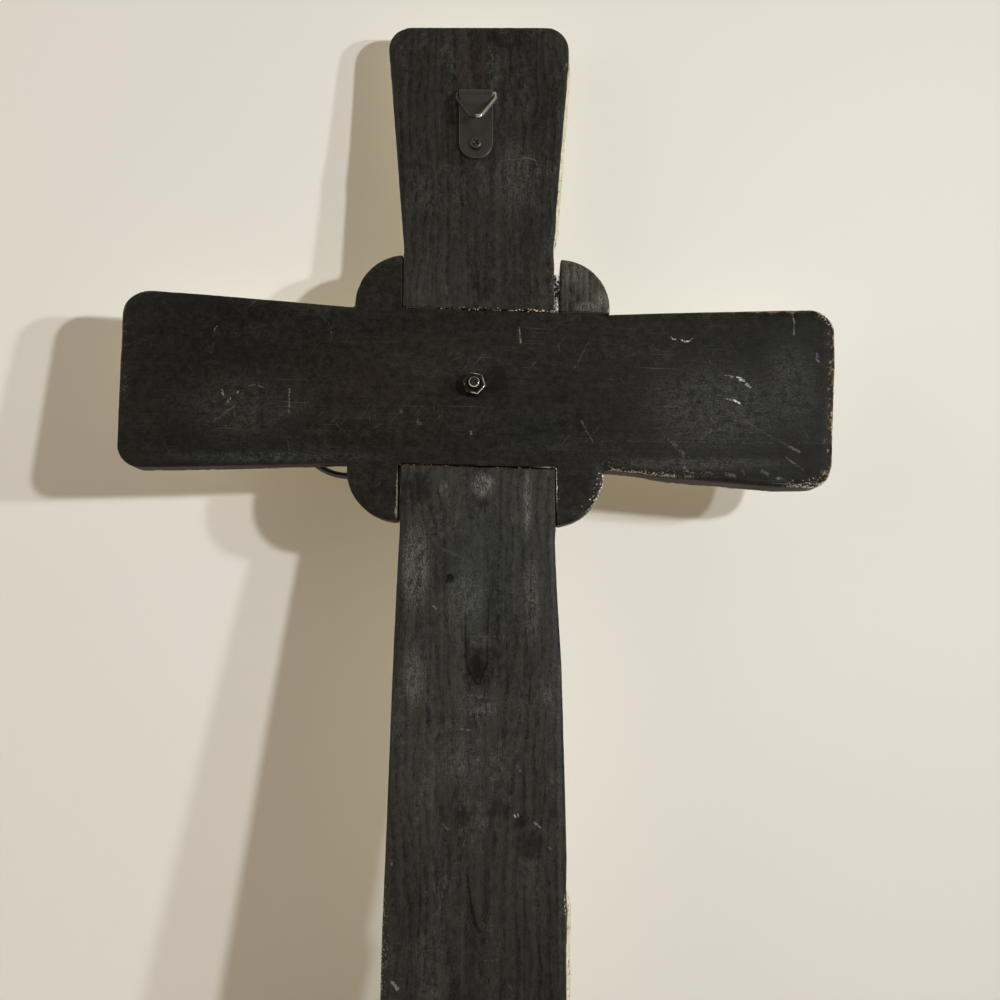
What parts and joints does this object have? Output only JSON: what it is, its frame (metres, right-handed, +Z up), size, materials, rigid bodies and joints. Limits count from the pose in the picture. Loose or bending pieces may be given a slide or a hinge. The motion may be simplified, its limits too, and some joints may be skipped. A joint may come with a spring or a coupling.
{
  "type": "wall cross",
  "caption": "Flared wooden wall cross joined in a half lap, with a bolted bent-rod ornament on the front and a folded strap hanger with a swinging ring on the back.",
  "frame": {"origin": "middle of the foot's end face, half way through the board's thickness", "axes": "+Z up the upright board, +X to the right seen from the back, +Y out of the front, so the back with the hanger faces -Y"},
  "size_m": [0.392, 0.0493, 0.61],
  "materials": {
    "board_wood": "black stain on the back, eased and rubbed arrises, worn cream and olive paint on the edges and the front",
    "block_wood": "thin brown-black stain, grain upright",
    "filler": "chalky pale filler, ragged",
    "bolt_steel": "darkened steel, rubbed bright on its edges",
    "ornament_iron": "smooth black enamel on bent iron rod",
    "hanger_steel": "blackened steel, rubbed bright on its edges"
  },
  "bodies": {
    "cross": {"vertical_board": "board_wood", "crossbar": "board_wood", "corner_block": "block_wood", "corner_filler": "filler", "centre_bolt": "bolt_steel", "bolt_nut": "bolt_steel", "rosette": "ornament_iron", "right_loop": "ornament_iron", "upper_loop": "ornament_iron", "left_loop": "ornament_iron", "lower_loop": "ornament_iron", "hanger_strap": "hanger_steel", "strap_screw": "hanger_steel"},
    "ring": {"hanging_ring": "hanger_steel"}
  },
  "joints": [
    {"name": "ring_swing", "type": "hinge", "parent": "cross", "child": "ring", "pos_m": [-0.0017, -0.0116, 0.5672], "axis": [-1, 0, 0], "range_deg": [-10, 148]}
  ]
}
